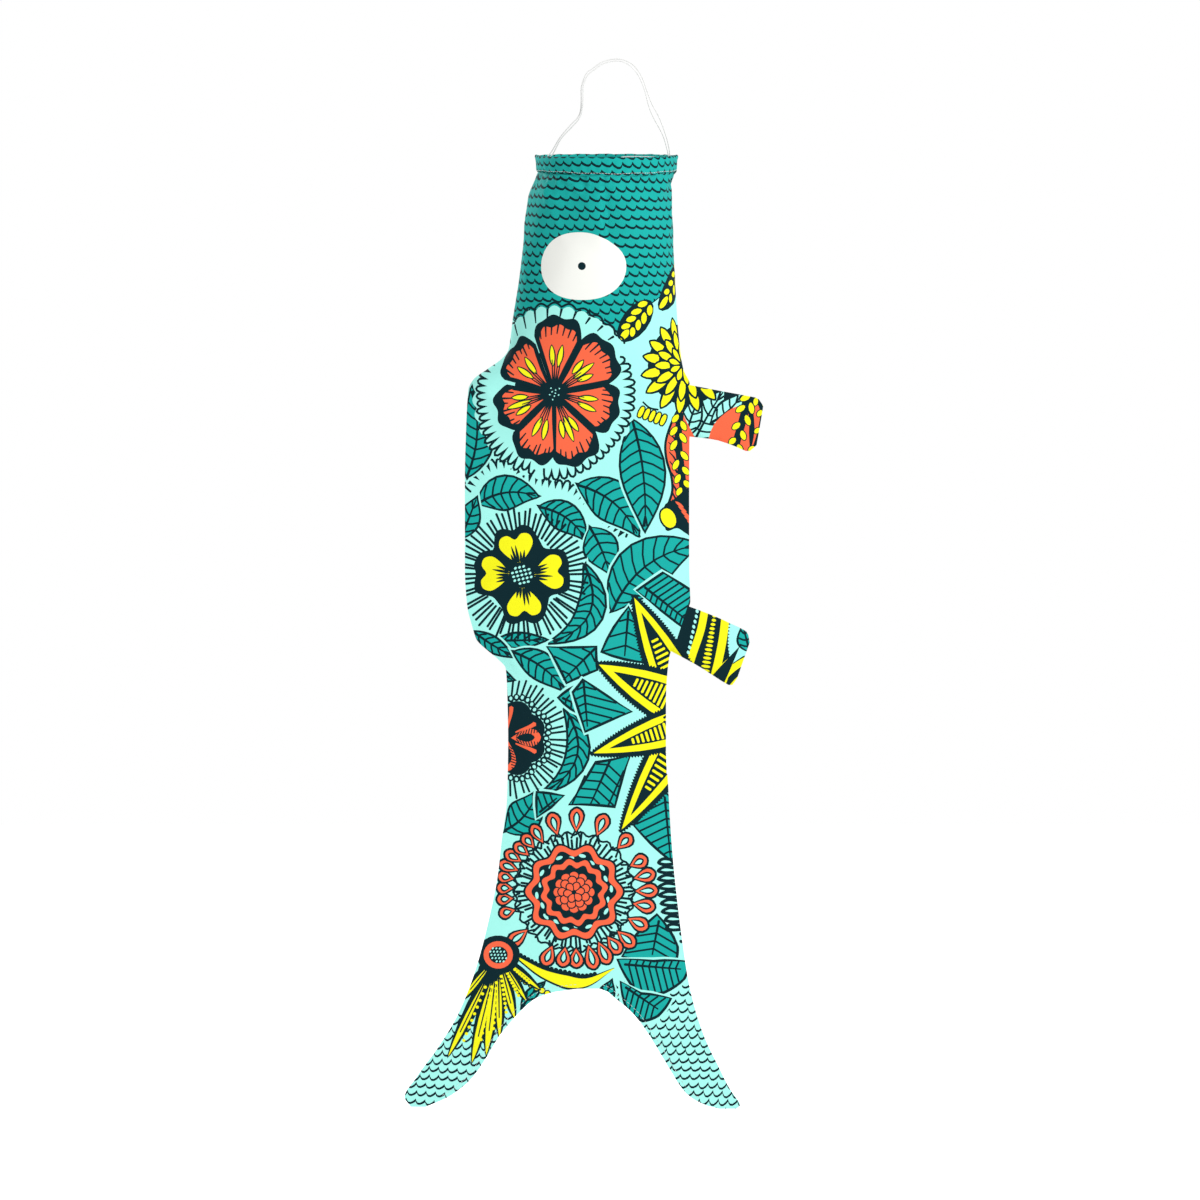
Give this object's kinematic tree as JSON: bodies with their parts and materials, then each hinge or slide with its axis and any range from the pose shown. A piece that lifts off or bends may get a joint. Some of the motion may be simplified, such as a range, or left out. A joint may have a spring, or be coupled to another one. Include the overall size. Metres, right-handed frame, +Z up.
{
  "type": "carp streamer",
  "caption": "Fish-shaped cloth windsock with a hooped mouth, two belly fins, a forked open tail and a doubled thread bridle to hang it by.",
  "frame": {"origin": "the point where a hook or rod holds the bridle, at the top of its arch", "axes": "+Z up, +X towards the belly side with the fins, -Y towards the side seen in the picture"},
  "size_m": [0.3756, 0.147, 1.1014],
  "materials": {
    "head_cloth": "teal woven polyester printed with dark scale rows",
    "print_cloth": "mint woven polyester printed with leaves and flowers in navy, teal, red and yellow",
    "mint_cloth": "mint woven polyester printed with dark scale rows",
    "cord": "white twisted thread",
    "hoop_plastic": "satin springy strip",
    "joiner_plastic": "satin sleeve",
    "label_cloth": "woven satin tape, blank"
  },
  "bodies": {
    "bridle": {"bridle_strand_front": "cord", "bridle_strand_rear": "cord"},
    "head": {"bridle_knot_left": "cord", "bridle_knot_right": "cord", "mouth_hoop": "hoop_plastic", "hoop_joiner": "joiner_plastic", "mouth_hem_front": "head_cloth", "mouth_hem_rear": "head_cloth", "head_front": "head_cloth", "head_rear": "head_cloth"},
    "body": {"body_front": "print_cloth", "body_rear": "print_cloth"},
    "tail": {"tail_front": "print_cloth", "tail_rear": "print_cloth", "side_label": "label_cloth"},
    "back_lobe": {"back_tail_lobe_front": "mint_cloth", "back_tail_lobe_rear": "mint_cloth"},
    "belly_lobe": {"belly_tail_lobe_front": "mint_cloth", "belly_tail_lobe_rear": "mint_cloth"},
    "upper_fin": {"upper_fin_front": "print_cloth", "upper_fin_rear": "print_cloth"},
    "lower_fin": {"lower_fin_front": "print_cloth", "lower_fin_rear": "print_cloth"}
  },
  "joints": [
    {"name": "bridle_swing", "type": "hinge", "parent": "bridle", "child": "head", "pos_m": [0, 0, -0.108], "axis": [1, 0, 0], "range_deg": [-60, 60]},
    {"name": "neck_flex", "type": "hinge", "parent": "head", "child": "body", "pos_m": [0, 0, -0.288], "axis": [1, 0, 0], "range_deg": [-20, 20]},
    {"name": "waist_flex", "type": "hinge", "parent": "body", "child": "tail", "pos_m": [0, 0, -0.646], "axis": [1, 0, 0], "range_deg": [-35, 35]},
    {"name": "back_lobe_flap", "type": "hinge", "parent": "tail", "child": "back_lobe", "pos_m": [0, 0, -0.996], "axis": [1, 0, 0], "range_deg": [-40, 40]},
    {"name": "belly_lobe_flap", "type": "hinge", "parent": "tail", "child": "belly_lobe", "pos_m": [0, 0, -0.996], "axis": [1, 0, 0], "range_deg": [-40, 40]},
    {"name": "upper_fin_flap", "type": "hinge", "parent": "body", "child": "upper_fin", "pos_m": [0.08715, 0, -0.338], "axis": [0.0041, 0, 1], "range_deg": [-70, 70]},
    {"name": "lower_fin_flap", "type": "hinge", "parent": "body", "child": "lower_fin", "pos_m": [0.08658, 0, -0.57], "axis": [0.3726, 0, 0.928], "range_deg": [-70, 70]}
  ]
}
